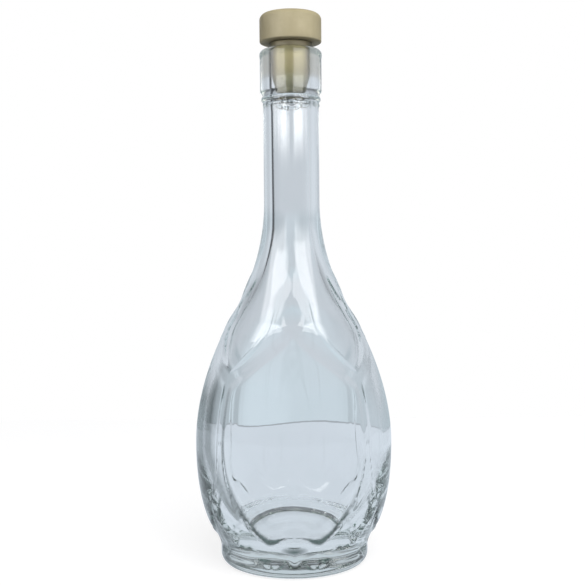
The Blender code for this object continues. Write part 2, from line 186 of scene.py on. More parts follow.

# Painted shade in the glass's colour at the seams of the relief, on the side that faces -Y. The
# crescents under a shield have half widths at shares of the angle to the pillar.
FRONT_MARGIN = 0.05
FRONT_FADE = 0.4
CRESCENT_LIFT = 0.0004
CRESCENT_GAIN = 1.4
CRESCENT_HALF_WIDTHS = (
    (0.0, 0.0001), (0.14, 0.0002), (0.24, 0.0014), (0.39, 0.0025), (0.54, 0.0018), (0.70, 0.0011),
    (0.80, 0.0001), (1.0, 0.0001),
)
SEAM_HALF_WIDTH = 0.0010
GABLE_SEAM_SHADE = 0.35
LENS_SHADE = 1.0
LENS_SHADE_SHIFT = 0.2
DROP_SHARE = 0.95
DROP_HEIGHT = 0.0852
DROP_HALF_WIDTH = 0.0009
DROP_HALF_HEIGHT = 0.0046
SPECK_SHADE = 0.95
SEAM_SHADE_COLOUR = (0.018, 0.036, 0.028)

# Painted shade at the rims at the left and the right: how far the glass turns away, the distance to
# the side, the shades and the heights
RIM_FACING = (0.46, 0.66)
RIM_SIDES = (0.012, 0.028)
RIM_FADE = 0.015
LEFT_RIM_SHADE = 0.9
LEFT_RIM_TOP = 0.082
RIGHT_RIM_SHADE = 0.35
RIGHT_RIM_FOOT = 0.066
RIGHT_RIM_TOP = 0.110

# Ground seat in the bore, which also takes on the colour of the cork behind it
SEAT_LENGTH = 0.0134
SEAT_BLEND = 0.003
SEAT_EDGE = 0.0006
SEAT_ROUGHNESS = 0.24
SEAT_COLOUR = (0.87, 0.82, 0.74)
BORE_MARGINS = (0.0002, 0.0004)

# Stopper
CLEARANCE = 0.0003
COLLAR_HEIGHT = 0.0027
COLLAR_OVERHANG = 0.00135
COLLAR_ROUND = 0.0006
SHANK_STRAIGHT = 0.0098
SHANK_TAPER = 0.0036
SHANK_BULGE_SHARES = (0.5, 0.42, 0.88)
TENON_RADIUS = 0.005
HEAD_TOP_ROUND = 0.003
HEAD_BOTTOM_ROUND = 0.0007

# Noise in the finishes: its stretch along X, Y and Z, its fineness, and the values at which its mask
# starts and is full
GLASS_HAZE = (EVEN, 90.0, 0.45, 0.75)
GLASS_RIPPLES = ((1.0, 1.0, 0.45), 45.0, 0.1, 0.9)
GLASS_SEEDS = (EVEN, 900.0, 0.74, 0.80)
WOOD_CLOUD = ((1.0, 1.0, 0.7), 110.0, 0.3, 0.75)
WOOD_GRAIN = ((0.5, 1.0, 0.6), 260.0, 0.35, 0.80)
WOOD_PORES = ((0.12, 1.0, 1.0), 2600.0, 0.60, 0.72)
CORK_CLOUD = ((1.0, 1.0, 0.5), 240.0, 0.3, 0.75)
CORK_SPECKLES = (EVEN, 1900.0, 0.58, 0.70)
GLUE_CLOUD = (EVEN, 500.0, 0.3, 0.7)
GLUE_BUBBLES = (EVEN, 2200.0, 0.62, 0.72)
NOISE = {"Detail": 4.0, "Roughness": 0.55}
TURNING_MARKS = {"Scale": 900.0, "Distortion": 1.2, "Detail": 1.0, "Detail Scale": 2.0}

# Strength and depth of the bumps, and the roughness where a mask is 0 and where it is 1
RIPPLE_BUMP = (1.0, 0.00002)
SEED_BUMP = (0.5, 0.00002)
PORE_BUMP = (0.4, 0.00003)
CORK_BUMP = (0.4, 0.00003)
BUBBLE_BUMP = (0.5, 0.00005)
MARK_STRENGTH = 0.35
GLASS_ROUGHNESS = (0.004, 0.022)
WOOD_ROUGHNESS = (0.56, 0.70)
CORK_ROUGHNESS = (0.42, 0.58)
GLUE_ROUGHNESS = (0.22, 0.4)

# Colours, how much of the darker one each mask brings in, and tones as shares of a colour
WHITE = (1.0, 1.0, 1.0)
BLACK = (0.0, 0.0, 0.0)
GLASS_IOR = 1.52
HAZE_COLOUR = (0.985, 0.993, 0.99)
WOOD_SHARES = (0.8, 0.38, 0.25)
# Painted shade on the underside of the head
UNDERSIDE_SHADE_SHARE = 0.8
UNDERSIDE_SHADE_TONE = 0.5
CORK_SHARES = (0.4, 0.5)
# Painted shade towards the shank's lower end, on the collar under the head, and at the shank's edges
LOWER_SHADE_LENGTH = 0.012
LOWER_SHADE_SHARE = 0.95
LOWER_SHADE_TONE = 0.38
COLLAR_SHADE_COLOUR = (0.42, 0.365, 0.215)
EDGE_SHADE_FACING = (0.27, 0.60)
EDGE_SHADE_SHARE = 0.9
EDGE_SHADE_TONE = 0.25
GLUE_CLOUD_TONE = 0.8

# Numbers of the colour sockets of Blender's Mix node
MIX_FIRST = 6
MIX_SECOND = 7
MIX_RESULT = 2

# Fineness of the meshes: the end of each span, as a share, and the steps that it takes
COLUMN_SPAN_SHARES = ((0.10, 6), (0.28, 6), (0.46, 9), (0.84, 9), (1.0, 10))
BODY_ROW_SPAN_SHARES = ((0.14, 52), (0.48, 34), (0.82, 68), (1.0, 12))
CURVE_STEPS = 96
INSIDE_STEPS = 12
ROUND_STEPS = 8
FEW_STEPS = 4
WALL_POINTS = 10
NECK_POINTS = 12
LINE_STEPS = 64
STOPPER_SIDES = 128
SMOOTH_ANGLE = math.radians(32)
MERGE_DISTANCE = 0.000002

# Stage: places of the lamps, seen from the bottle. Azimuth 0 is the camera's side, and rises to the right.
AIM_HEIGHT = 0.15
WINDOW_DISTANCE = 0.25
WINDOW_AZIMUTHS = ((-80.0, -18.0), (7.0, 70.0))
WINDOW_HEIGHTS = (0.212, 0.460)
WINDOW_EDGE_SHARE = 0.14
CARD_HEIGHT = 0.12
CARD_RADII = (0.048, 0.125)
CARD_FRONT = 0.034
CARD_AZIMUTHS = (-75.0, 75.0)
CARD_STEPS = 24
KEY_DISTANCE = 1.2
KEY_SIZE = 0.9
KEY_AZIMUTH = 20.0
KEY_ELEVATION = 53.0
FLOOR_WIDTH = 1.6
FLOOR_BEFORE = 0.9
FLOOR_GLOW = 0.66
FLOOR_GLOW_STRENGTH = 1.25
# Painted shadow line along the floor's far edge, and a darker floor in front, seen in glass and gloss
FLOOR_LINE_WIDTH = 0.012
FLOOR_LINE_SHADE = 0.45
FLOOR_FRONT_SHADE = 0.3
FLOOR_FRONT_SPAN = (-0.20, -0.04)
FLOOR_FRONT_SHADE_COLOUR = (0.05, 0.07, 0.06)
FLOOR_ROUGHNESS = 0.9
LENS_PER_FRAME = 1000 / 585
CLIP_START = 0.01
GLASS_BOUNCES = 48

# Brightness of the room around the bottle, as shares of the backdrop's: azimuth in degrees, share.
# The low ring is what shows just above the floor's far edge, the high ring what shows over it.
LOW_RING = (
    (-180.0, 0.94), (-178.0, 1.04), (-175.5, 1.04), (-172.0, 0.66), (-150.0, 0.66), (-140.0, 0.80),
    (-128.0, 0.80), (-122.0, 0.12), (-104.0, 0.12), (-70.0, 0.40), (50.0, 0.40), (100.0, 0.60),
    (140.0, 0.72), (171.0, 0.72), (175.0, 0.94), (180.0, 0.94),
)
HIGH_RING = (
    (-180.0, 0.88), (-170.0, 0.88), (-160.0, 0.82), (-147.0, 0.84), (-138.0, 0.95), (-128.0, 0.95),
    (-122.0, 0.12), (-104.0, 0.12), (-70.0, 0.36), (50.0, 0.36), (100.0, 0.80), (135.0, 0.96), (155.0, 0.96),
    (172.0, 0.88), (180.0, 0.88),
)
BACKDROP_TURN = (math.radians(-7), math.radians(1))
CEILING_TURN = (math.radians(12), math.radians(34))
CEILING_SHADE = 0.80


def length(name, description, default):
    """A length in metres, as a property that the panel can show."""
    return bpy.props.FloatProperty(
        name=name, description=description, default=default, min=0.0, precision=5, unit="LENGTH"
    )


def colour(name, description, default):
    """A colour, as a property that the panel can show."""
    return bpy.props.FloatVectorProperty(
        name=name, description=description, default=default, size=3, min=0.0, max=1.0, subtype="COLOR"
    )


def amount(name, description, default, high=1.0):
    """A plain number, as a property that the panel can show."""
    return bpy.props.FloatProperty(name=name, description=description, default=default, min=0.0, max=high)


def lean(name, description, degrees):
    """An angle, as a property that the panel can show."""
    return bpy.props.FloatProperty(
        name=name, description=description, default=math.radians(degrees), subtype="ANGLE"
    )


class GlassSettings(bpy.types.PropertyGroup):
    """Sizes and colour of the glass."""

    foot_radius: length("Foot radius", "Radius of the band above the heel", 0.0356)
    belly_radius: length("Belly radius", "Largest radius of the body", (GLASS_HIGH.x - GLASS_LOW.x) / 2)
    belly_height: length("Belly height", "Height of the largest radius", 0.0578)
    shoulder_radius: length("Shoulder radius", "Radius where the outline turns hollow", 0.0302)
    shoulder_height: length("Shoulder height", "Height where the outline turns hollow", 0.1171)
    neck_radius: length("Neck radius", "Outer radius of the straight neck", 0.01335)
    neck_height: length("Neck height", "Height at which the straight neck begins", 0.1738)
    finish_radius: length("Finish radius", "Outer radius of the finish around the bore", 0.01475)
    bore_radius: length("Bore radius", "Radius of the bore that takes the stopper", 0.00925)
    floor_thickness: length("Floor thickness", "Height of the inner floor at its edge", 0.0126)
    belly_wall: length("Belly wall", "Thickness of the glass at the belly", 0.0033)
    shoulder_wall: length("Shoulder wall", "Thickness of the glass at the shoulder", 0.0046)
    neck_wall: length("Neck wall", "Thickness of the glass in the neck", 0.00445)
    frame_rise: length("Frame rise", "How far the frames stand out around the shields", 0.0004)
    keel_rise: length("Keel rise", "How far the ridge of a hood's tip stands out", 0.0006)
    inner_wave: length("Inner wave", "Depth of the slow waves of the blown inner wall", 0.00016)
    tint: colour("Tint", "Colour that the light keeps in thick glass", (0.70, 0.765, 0.735))
    absorption: amount("Absorption", "How strongly the glass tints light, per metre", 11.0, 1000.0)


class StopperSettings(bpy.types.PropertyGroup):
    """Sizes and colours of the stopper."""

    head_radius: length("Head radius", "Radius of the wooden head", (HEAD_HIGH.x - HEAD_LOW.x) / 2)
    shank_radius: length("Shank radius", "Radius of the shank's straight part", 0.0091)
    groove_depth: length("Groove depth", "Depth of the turning marks on the head", 0.00004)
    wood_light: colour("Light wood", "Colour of the wood between the grain", (0.520, 0.455, 0.280))
    wood_dark: colour("Dark wood", "Colour of the grain", (0.420, 0.360, 0.210))
    cork_light: colour("Light cork", "Colour of the shank", (0.580, 0.575, 0.345))
    cork_dark: colour("Dark cork", "Colour of the shank's speckles", (0.420, 0.390, 0.225))
    glue: colour("Glue", "Colour of the hot-melt glue", (0.75, 0.70, 0.52))


class StageSettings(bpy.types.PropertyGroup):
    """Camera, floor and lights."""

    camera_distance: length("Camera distance", "From the camera to the bottle's axis", 0.4836)
    camera_height: length("Camera height", "From the floor to the camera", 0.1514)
    pitch: lean("Pitch", "How far the camera looks down", 2.55)
    roll: lean("Roll", "How far the camera leans", -0.465)
    floor_behind: length("Floor behind", "From the bottle's axis to the floor's far edge", 0.40)
    floor_colour: colour("Floor", "Colour of the floor", (0.90, 0.90, 0.92))
    floor_in_glass: colour("Floor in glass", "What glass and gloss show of the floor", (0.67, 0.74, 0.82))
    backdrop_low: colour("Backdrop, low", "What glass and gloss show over the floor", (0.66, 0.765, 0.84))
    backdrop_high: colour("Backdrop, high", "What glass and gloss show higher up", (0.71, 0.77, 0.84))
    window_strength: amount("Window strength", "Brightness of the two window panels", 4.2, 100.0)
    key_power: amount("Key power", "Power of the soft lamp overhead, in watts", 12.0, 1000.0)
    ambient: amount("Ambient", "Brightness of the light from all sides", 0.25, 10.0)


def mix(start, end, share):
    return start + (end - start) * share


def bezier(a, b, c, d, steps):
    """Points of a cubic curve from a to d, both ends included."""
    t = np.linspace(0.0, 1.0, steps + 1)[:, None]
    s = 1 - t
    a, b, c, d = (np.array(point, float) for point in (a, b, c, d))
    return s**3 * a + 3 * s * s * t * b + 3 * s * t * t * c + t**3 * d


def arc(centre, radius, start, end, steps):
    """Points of an arc in the profile plane, from angle start to angle end in degrees."""
    angles = np.radians(np.linspace(start, end, steps + 1))
    return np.column_stack((centre[0] + radius * np.cos(angles), centre[1] + radius * np.sin(angles)))


def smooth_step(distance, width):
    t = np.clip(distance / width, 0.0, 1.0)
    return t * t * (3 - 2 * t)


def dome(across, upward):
    """A rise from 0 at its edge to 1 in its middle, at places given as shares of its half sizes."""
    return np.clip(1 - across**2 - upward**2, 0.0, 1.0)


def waves(pairs, angle):
    return sum(np.sin(count * angle + start) for count, start in pairs)


def smooth_line(pairs, x):
    """Values at x of a curve through pairs that never swings past them."""
    xs, ys = np.array(pairs).T
    steps = np.diff(ys) / np.diff(xs)
    inner = np.where(steps[:-1] * steps[1:] > 0, 2 * steps[:-1] * steps[1:] / (steps[:-1] + steps[1:]), 0.0)
    slopes = np.concatenate((steps[:1], inner, steps[-1:]))
    x = np.clip(x, xs[0], xs[-1])
    index = np.clip(np.searchsorted(xs, x, side="right") - 1, 0, len(xs) - 2)
    span = xs[index + 1] - xs[index]
    t = (x - xs[index]) / span
    ease = t * t * (3 - 2 * t)
    leaving = t * (1 - t) ** 2 * slopes[index] * span
    arriving = t * t * (1 - t) * slopes[index + 1] * span
    return mix(ys[index], ys[index + 1], ease) + leaving - arriving


def spans(pairs):
    """Places from 0 to 1, closer together in the spans that take more steps."""
    places = [0.0]
    for end, count in pairs:
        places += list(np.linspace(places[-1], end, count + 1)[1:])
    return np.array(places)


COLUMN_SHARES = spans(COLUMN_SPAN_SHARES)
COLUMNS_HALF = len(COLUMN_SHARES) - 1
COLUMNS = 2 * SHIELD_COUNT * COLUMNS_HALF


def along(point, angle, distance):
    """The point at this distance from another, on a line that leans inwards by the angle."""
    return point[0] - distance * math.sin(angle), point[1] + distance * math.cos(angle)


def outer_curve(glass):
    """The outside of belly, shoulder and lower neck as points of radius and height, going up."""
    foot = (glass.foot_radius, FOOT_HEIGHT)
    belly = (glass.belly_radius, glass.belly_height)
    shoulder = (glass.shoulder_radius, glass.shoulder_height)
    neck = (glass.neck_radius, glass.neck_height)
    low, middle, high = belly[1] - foot[1], shoulder[1] - belly[1], neck[1] - shoulder[1]
    lower = bezier(
        foot, along(foot, 0, FOOT_HANDLE_SHARE * low),
        along(belly, 0, -BELLY_LOWER_HANDLE_SHARE * low), belly, CURVE_STEPS,
    )
    side = bezier(belly, along(belly, 0, BELLY_UPPER_HANDLE_SHARE * middle), shoulder, shoulder, CURVE_STEPS)
    upper = bezier(
        shoulder, along(shoulder, SHOULDER_LEAN, SHOULDER_HANDLE_SHARE * high),
        along(neck, 0, -NECK_HANDLE_SHARE * high), neck, CURVE_STEPS,
    )
    return np.vstack((lower, side[1:], upper[1:]))


def hollow(glass):
    """From the middle of the inner floor up the inner wall to the rim's flat."""
    neck_inside = glass.neck_radius - glass.neck_wall
    rise = glass.neck_height - glass.shoulder_height
    floor = (FLOOR_RADIUS, glass.floor_thickness)
    belly = (glass.belly_radius - glass.belly_wall, glass.belly_height)
    shoulder = (glass.shoulder_radius - glass.shoulder_wall, glass.shoulder_height)
    neck = (neck_inside, glass.shoulder_height + INNER_NECK_SHARE * rise)
    crown_radii = np.linspace(0.0, 1.0, INSIDE_STEPS // 2 + 1)[:-1]
    crown = np.column_stack((FLOOR_RADIUS * crown_radii, floor[1] + FLOOR_CROWN * (1 - crown_radii**2)))
    heel = bezier(
        floor, (mix(floor[0], belly[0], FLOOR_HANDLE_SHARE), floor[1]),
        along(belly, 0, INNER_BELLY_HANDLE_SHARE * (floor[1] - belly[1])), belly, INSIDE_STEPS,
    )
    upper_handle = along(belly, 0, BELLY_UPPER_HANDLE_SHARE * (shoulder[1] - belly[1]))
    side = bezier(belly, upper_handle, shoulder, shoulder, INSIDE_STEPS)
    upper = bezier(
        shoulder, along(shoulder, SHOULDER_LEAN, SHOULDER_HANDLE_SHARE * rise),
        along(neck, 0, INNER_NECK_HANDLE_SHARE * (shoulder[1] - neck[1])), neck, INSIDE_STEPS,
    )
    bore_foot = SHANK_LOW.z - BORE_BELOW_SHANK
    taper_foot = bore_foot - BORE_TAPER_LENGTH
    middle = mix(taper_foot, bore_foot, 0.5)
    bore = glass.bore_radius
    taper = bezier(
        (neck_inside, taper_foot), (neck_inside, middle), (bore, middle), (bore, bore_foot), ROUND_STEPS
    )
    rim = arc((bore + BORE_ROUND, GLASS_HIGH.z - BORE_ROUND), BORE_ROUND, 180, 90, ROUND_STEPS)
    return np.vstack((crown, heel, side[1:], upper[1:], taper, rim))


def bead(radius, height, swell, width):
    """Points around a bead, going down."""
    turn = np.radians(np.linspace(BEAD_TURN, -BEAD_TURN, ROUND_STEPS + 1))
    return np.column_stack((radius + swell * np.cos(turn), height + width / 2 * np.sin(turn)))


def upright(radius, top, foot, count):
    """Points down a straight wall."""
    return np.column_stack((np.full(count, radius), np.linspace(top, foot, count)))


def finish_outside(glass):
    """From the rim's flat down over lip, finish, groove and beads to the neck."""
    lip, side, neck = glass.finish_radius + LIP_SWELL, glass.finish_radius, glass.neck_radius
    lip_foot = GLASS_HIGH.z - LIP_ROUND
    bend = GLASS_HIGH.z - 1.5 * LIP_ROUND
    wall_top = GLASS_HIGH.z - 2 * LIP_ROUND
    return np.vstack((
        arc((lip - LIP_ROUND, lip_foot), LIP_ROUND, 90, 0, ROUND_STEPS),
        bezier((lip, lip_foot), (lip, bend), (side, bend), (side, wall_top), FEW_STEPS)[1:],
        upright(side, wall_top, FINISH_FOOT, WALL_POINTS)[1:-1],
        arc((side - FINISH_ROUND, FINISH_FOOT), FINISH_ROUND, 0, GROOVE_TURN, FEW_STEPS),
        [(side - GROOVE_DEPTH, mix(GROOVE_TOP, BEAD_TOP, 0.5))],
        bead(neck, mix(BEAD_TOP, BEAD_FOOT, 0.5), BEAD_SWELL, BEAD_WIDTH),
        bead(neck, SMALL_BEAD_HEIGHT, SMALL_BEAD_SWELL, SMALL_BEAD_WIDTH),
        upright(neck, SMALL_BEAD_HEIGHT - SMALL_BEAD_WIDTH, glass.neck_height, NECK_POINTS),
    ))


def underside(glass):
    """From the heel to the middle of the underside."""
    bearing_outer = glass.foot_radius - HEEL_RADIUS
    bearing_inner = bearing_outer - BEARING_WIDTH
    heel = arc((bearing_outer, HEEL_RADIUS), HEEL_RADIUS, 0, -90, ROUND_STEPS)
    shares = np.linspace(1.0, 0.0, ROUND_STEPS + 1)
    hollow_up = PUNT_HEIGHT * (1 - shares**PUNT_FLATNESS)
    return np.vstack((heel, np.column_stack((bearing_inner * shares, hollow_up))))


def relief_line(glass, foot_share, top_share, outline_share):
    """Height of a line of the relief, from the shares of its foot, its top and its outline."""
    return glass.neck_height * mix(foot_share, top_share, outline_share)


def shield_floor(glass, share):
    return relief_line(glass, SHIELD_LOBE_SHARE, PILLAR_FOOT_SHARE, smooth_line(FLOOR_SHARES, share))


def shield_roof(glass, share):
    return relief_line(glass, SHIELD_APEX_SHARE, SHIELD_CORNER_SHARE, share)


def hood(glass, share):
    return relief_line(glass, HOOD_FOOT_SHARE, HOOD_TIP_SHARE, smooth_line(HOOD_SHARES, share))


def gable(glass, share):
    line = relief_line(glass, GABLE_FOOT_SHARE, GABLE_SHOULDER_SHARE, smooth_line(GABLE_SHARES, share))
    return np.where(share < GABLE_SHARES[0][0], shield_floor(glass, share), line)


def distance_above(line, glass, share, height, radius):
    """Distance over the glass from a line of the relief, positive above it."""
    places = np.linspace(0.0, 1.0, LINE_STEPS + 1)
    heights = line(glass, places)
    across = (radius * HALF_SECTOR)[..., None]
    ax = (places[:-1] - share[..., None]) * across
    ay = heights[:-1] - height[..., None]
    dx = np.diff(places) * across
    dy = np.diff(heights)
    t = np.clip(-(ax * dx + ay * dy) / (dx * dx + dy * dy), 0.0, 1.0)
    nearest = np.hypot(ax + t * dx, ay + t * dy).min(axis=-1)
    return np.where(height > line(glass, share), nearest, -nearest)


def relief(glass, share, height, radius):
    """How far the glass stands out from its turned outline, which the shields themselves keep."""
    neck = glass.neck_height
    leaf_top, hood_tip = LEAF_TOP_SHARE * neck, HOOD_TIP_SHARE * neck
    to_pillar = (1 - share) * HALF_SECTOR * radius - PILLAR_WIDTH / 2
    over_floor, over_roof, over_hood, over_gable = (
        distance_above(line, glass, share, height, radius) for line in (shield_floor, shield_roof, hood, gable)
    )
    lobe = 1 - smooth_step(share - LOBE_END_SHARE, LOBE_FADE_SHARE)
    lobe *= height < PILLAR_FOOT_SHARE * neck
    shield = smooth_step(over_floor, mix(EDGE_WIDTH, LOBE_EDGE_WIDTH, lobe))
    shield *= smooth_step(to_pillar, PILLAR_EDGE_WIDTH)
    shield *= smooth_step(-over_roof, ROOF_EDGE_WIDTH)
    leaf = smooth_step(over_hood, LEAF_EDGE_WIDTH)
    gable_edge = mix(GABLE_EDGE_WIDTH, LOBE_EDGE_WIDTH, lobe)
    gables = smooth_step(lobe * gable_edge / 2 - over_gable, gable_edge)
    gables *= smooth_step(height - FOOT_HEIGHT, DIAMOND_HALF_HEIGHT)
    side = smooth_step(share, FADE_SHARE)
    frame_rise = mix(glass.frame_rise, HOOD_RISE, smooth_step(height - UPPER_SHARE * neck, UPPER_BLEND))
    frame_rise *= smooth_step(height - FOOT_HEIGHT, EDGE_WIDTH) * (1 - lobe)
    frame_rise *= smooth_step(hood_tip - height, hood_tip - hood_low(glass))
    frame_level = frame_rise * side * (1 - np.maximum(np.maximum(shield, leaf), gables))
    leaf_depth = LEAF_HOLLOW * np.sin(share * math.pi / 2) ** 2
    upward = smooth_step(leaf_top - height, leaf_top - hood_low(glass))
    pressed = mix(GABLE_DEPTH, LOBE_DEPTH, lobe) * side * gables + leaf_depth * leaf * upward
    return frame_level + raised_forms(glass, share, height, radius) - pressed


def raised_forms(glass, share, height, radius):
    """How far bud, keel, lens and diamonds stand out."""
    neck = glass.neck_height
    beside = share * HALF_SECTOR * radius
    bud_up = (height - BUD_SHARE * neck) / BUD_HALF_HEIGHT
    bud = BUD_RISE * dome(beside / BUD_HALF_WIDTH, bud_up) ** BUD_FULLNESS
    keel_range = smooth_step(height - KEEL_FOOT_SHARE * neck, KEEL_FADE)
    keel_range *= smooth_step(HOOD_TIP_SHARE * neck - height, KEEL_FADE)
    keel = glass.keel_rise * np.clip(1 - 2 * beside / KEEL_WIDTH, 0.0, 1.0) * keel_range
    lens = LENS_RISE * dome(beside / LENS_HALF_WIDTH, (height - LENS_SHARE * neck) / LENS_HALF_HEIGHT)
    diamond_height = FOOT_HEIGHT + DIAMOND_SEAT_SHARE * DIAMOND_HALF_HEIGHT
    diamond_across = np.abs(share * HALF_SECTOR - DIAMOND_ANGLE) * radius / DIAMOND_HALF_WIDTH
    diamond_up = np.abs(height - diamond_height) / DIAMOND_HALF_HEIGHT
    diamond = DIAMOND_RISE * np.clip(1 - diamond_across - diamond_up, 0.0, 1.0)
    return np.maximum(np.maximum(bud + keel, lens), diamond)


def hood_low(glass):
    """Height at which a hood's edge turns outwards into the roof over the shield."""
    return HOOD_FOOT_SHARE * glass.neck_height + HOOD_EDGE_RISE


def enter_edit(select="SELECT", kind="VERT"):
    bpy.ops.object.mode_set(mode="EDIT")
    bpy.ops.mesh.select_mode(type=kind)
    bpy.ops.mesh.select_all(action=select)


def leave_edit():
    bpy.ops.object.mode_set(mode="OBJECT")


def settle(name, scale=EVEN):
    """Names the piece that was just added and applies its place, its turn and its scale."""
    piece = bpy.context.object
    piece.name = name
    piece.scale = scale
    bpy.ops.object.transform_apply(location=True, rotation=True, scale=True)
    return piece


def start_vertex(name, place):
    """A new piece that is one vertex so far, selected in edit mode and ready to be extruded."""
    bpy.ops.object.select_all(action="DESELECT")
    bpy.ops.mesh.primitive_plane_add(size=MILLIMETRE, location=place)
    piece = settle(name)
    enter_edit()
    bpy.ops.mesh.merge(type="CENTER")
    return piece


def draw_profile(name, points):
    """A chain of edges through points of radius and height, each vertex with the number of its point."""
    piece = start_vertex(name, (points[0][0], 0.0, points[0][1]))
    for (r0, z0), (r1, z1) in zip(points[:-1], points[1:]):
        bpy.ops.mesh.extrude_region_move(TRANSFORM_OT_translate={"value": (r1 - r0, 0.0, z1 - z0)})
    leave_edit()
    places = np.array([vertex.co for vertex in piece.data.vertices])
    distances = np.hypot(places[:, 0:1] - points[:, 0], places[:, 2:3] - points[:, 1])
    rows = piece.data.attributes.new("row", "INT", "POINT")
    rows.data.foreach_set("value", distances.argmin(axis=1).astype(np.int32))
    return piece


def turn_profile(piece, steps):
    """Spins the drawn profile about Z into one closed shell."""
    enter_edit()
    bpy.ops.mesh.spin(steps=steps, angle=2 * math.pi, center=(0.0, 0.0, 0.0), axis=(0.0, 0.0, 1.0))
    bpy.ops.mesh.select_all(action="SELECT")
    bpy.ops.mesh.remove_doubles(threshold=MERGE_DISTANCE)
    bpy.ops.mesh.normals_make_consistent(inside=False)
    leave_edit()


def lay_columns(positions):
    """The share and the new angle of each vertex's column, closer together where the relief is fine."""
    turn = np.arctan2(positions[:, 1], positions[:, 0]) / (2 * math.pi)
    column = np.round(turn * COLUMNS).astype(int)
    sector, step = np.divmod(column + COLUMNS_HALF, 2 * COLUMNS_HALF)
    step = step - COLUMNS_HALF
    share = COLUMN_SHARES[np.abs(step)]
    return share, (2 * sector + np.sign(step) * share) * HALF_SECTOR


def press(piece, glass, profile, body_rows, inside_count):
    """Presses the relief into the outside of the body and the slow waves into the inner wall."""
    mesh = piece.data
    positions = np.empty(3 * len(mesh.vertices))
    mesh.vertices.foreach_get("co", positions)
    rows = np.empty(len(mesh.vertices), dtype=np.int32)
    mesh.attributes["row"].data.foreach_get("value", rows)
    share, angle = lay_columns(positions.reshape(-1, 3))
    radius, height = profile[rows].T.copy()
    body = (rows >= body_rows[0]) & (rows < body_rows[1])
    inner = rows < inside_count
    # The tone attribute holds painted shade: the relief's seams on the side that faces -Y, and specks on the
    # small bead
    tone = np.zeros(len(rows))
    tone[body] = painted_seam_shade(glass, share[body], angle[body], height[body], radius[body])
    radius[body] += relief(glass, share[body], height[body], radius[body])
    near = np.clip(1 - np.abs(height - SMALL_BEAD_HEIGHT) / SMALL_BEAD_WIDTH, 0.0, 1.0) * ~inner
    radius += near * BEAD_WOBBLE * waves(BEAD_WAVES_OUT, angle)
    height -= near * BEAD_WOBBLE * BEAD_WOBBLE_UP_SHARE * waves(BEAD_WAVES_UP, angle)
    # Specks of painted shade around the small bead
    tone += SPECK_SHADE * near * smooth_step(waves(SPECK_WAVES, angle) - SPECK_LEAST, SPECK_EDGE)
    radius[inner] += glass.inner_wave * inner_wave(glass, angle[inner], height[inner])
    positions = np.column_stack((radius * np.cos(angle), radius * np.sin(angle), height))
    mesh.vertices.foreach_set("co", positions.ravel())
    mesh.attributes.new("tone", "FLOAT", "POINT").data.foreach_set("value", tone)
    mesh.update()


def painted_seam_shade(glass, share, angle, height, radius):
    """How dark the painted shade at the pressed seams is, from 0 to 1, on the half that faces -Y."""
    facing = -np.sin(angle)
    over_floor = distance_above(shield_floor, glass, share, height, radius) - CRESCENT_LIFT
    width = smooth_line(CRESCENT_HALF_WIDTHS, share)
    crescent = np.clip(CRESCENT_GAIN * (1 - (over_floor / width) ** 2), 0.0, 1.0)
    to_gable = distance_above(gable, glass, share, height, radius)
    seam = GABLE_SEAM_SHADE * np.clip(1 - np.abs(to_gable) / SEAM_HALF_WIDTH, 0.0, 1.0)
    seam *= smooth_step(share - GABLE_SHARES[0][0], FADE_SHARE / 2)
    lens_up = (height - LENS_SHARE * glass.neck_height) / LENS_HALF_HEIGHT + LENS_SHADE_SHIFT
    lens = LENS_SHADE * np.sqrt(dome(share * HALF_SECTOR * radius / LENS_HALF_WIDTH, lens_up))
    drop_across = (share - DROP_SHARE) * HALF_SECTOR * radius / DROP_HALF_WIDTH
    drop = np.sqrt(dome(drop_across, (height - DROP_HEIGHT) / DROP_HALF_HEIGHT))
    drop *= facing < math.cos(HALF_SECTOR)
    marks = np.maximum(np.maximum(crescent, seam), np.maximum(lens, drop))
    return smooth_step(facing + FRONT_MARGIN, FRONT_FADE) * marks


def inner_wave(glass, angle, height):
    """Slow waves of a blown wall, dying away at the floor and at the neck."""
    fade = smooth_step(height - glass.floor_thickness, FLOOR_RADIUS)
    fade *= smooth_step(glass.neck_height - height, FLOOR_RADIUS)
    upward = height / glass.belly_height * math.pi
    return fade * sum(
        depth * np.sin(count * angle + climb * upward + start) for depth, count, climb, start in INNER_WAVES
    )


